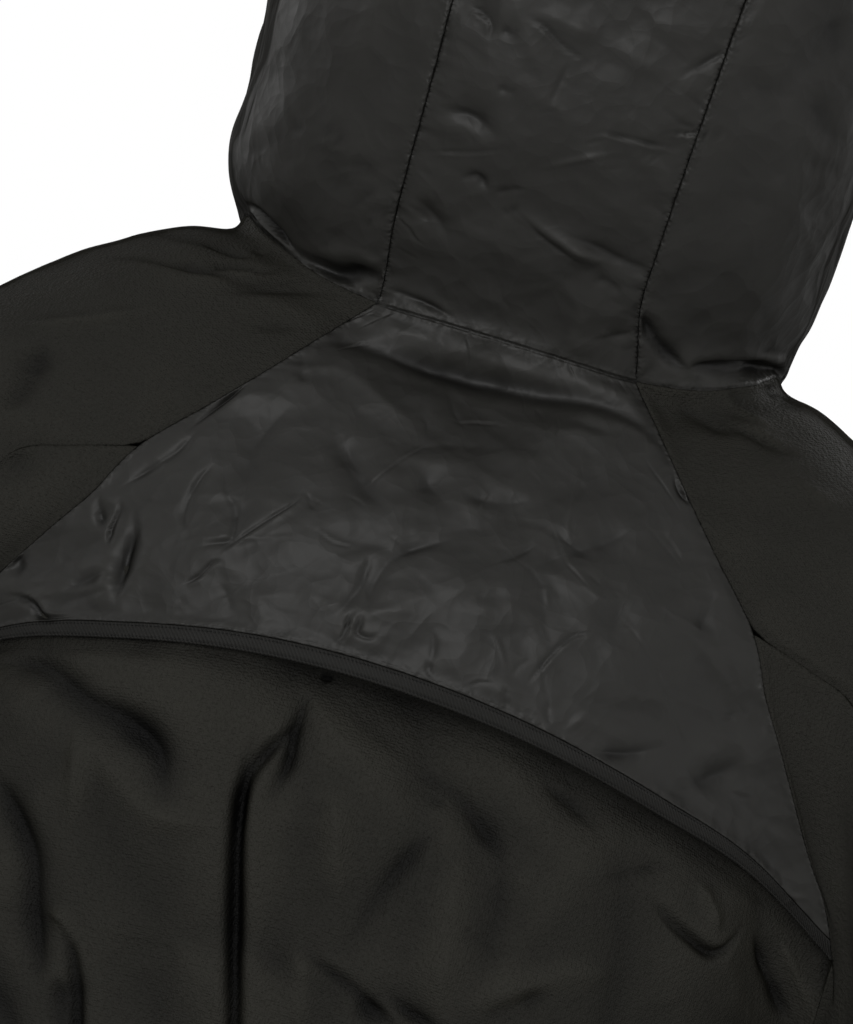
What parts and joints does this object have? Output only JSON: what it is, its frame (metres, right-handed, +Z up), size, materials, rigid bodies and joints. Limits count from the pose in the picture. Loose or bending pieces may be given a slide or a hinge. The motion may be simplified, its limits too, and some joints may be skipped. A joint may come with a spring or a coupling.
{
  "type": "hooded padded jacket",
  "caption": "Hooded padded jacket with raglan sleeves and a caped back yoke edged with stitched binding, zipped to the chin and filled out as worn, open at face, cuffs and hem.",
  "frame": {"origin": "middle of the neck ring, on the middle plane, at the height of the centre-back neck seam", "axes": "+Z up towards the hood, -Y the way the wearer faces, +X the wearer's left"},
  "size_m": [0.8124, 0.2884, 1.0013],
  "materials": {
    "shiny_padded_cloth": "smooth, slightly shiny black nylon over thin padding",
    "matte_padded_cloth": "matte, slightly olive black cloth with a fine crinkled ripstop weave, over thin padding",
    "binding": "woven black tape, stitched",
    "zip_black": "black moulded coil",
    "zip_metal": "dark painted zinc"
  },
  "bodies": {
    "jacket": {"back_cape": "shiny_padded_cloth", "cape_binding": "binding", "front_left": "matte_padded_cloth", "front_right": "matte_padded_cloth", "hood_centre": "shiny_padded_cloth", "hood_side_left": "shiny_padded_cloth", "hood_side_right": "shiny_padded_cloth", "lower_back": "matte_padded_cloth", "sleeve_under_left": "matte_padded_cloth", "sleeve_under_right": "matte_padded_cloth", "sleeve_upper_left": "matte_padded_cloth", "sleeve_upper_right": "matte_padded_cloth", "zip_chain": "zip_black", "zip_slider": "zip_metal", "zip_tape_left": "binding", "zip_tape_right": "binding"},
    "pull": {"zip_pull": "zip_metal"}
  },
  "joints": [
    {"name": "pull_hinge", "type": "hinge", "parent": "jacket", "child": "pull", "pos_m": [0, -0.12367, 0.01924], "axis": [-1, 0, 0], "range_deg": [0, 150]}
  ]
}
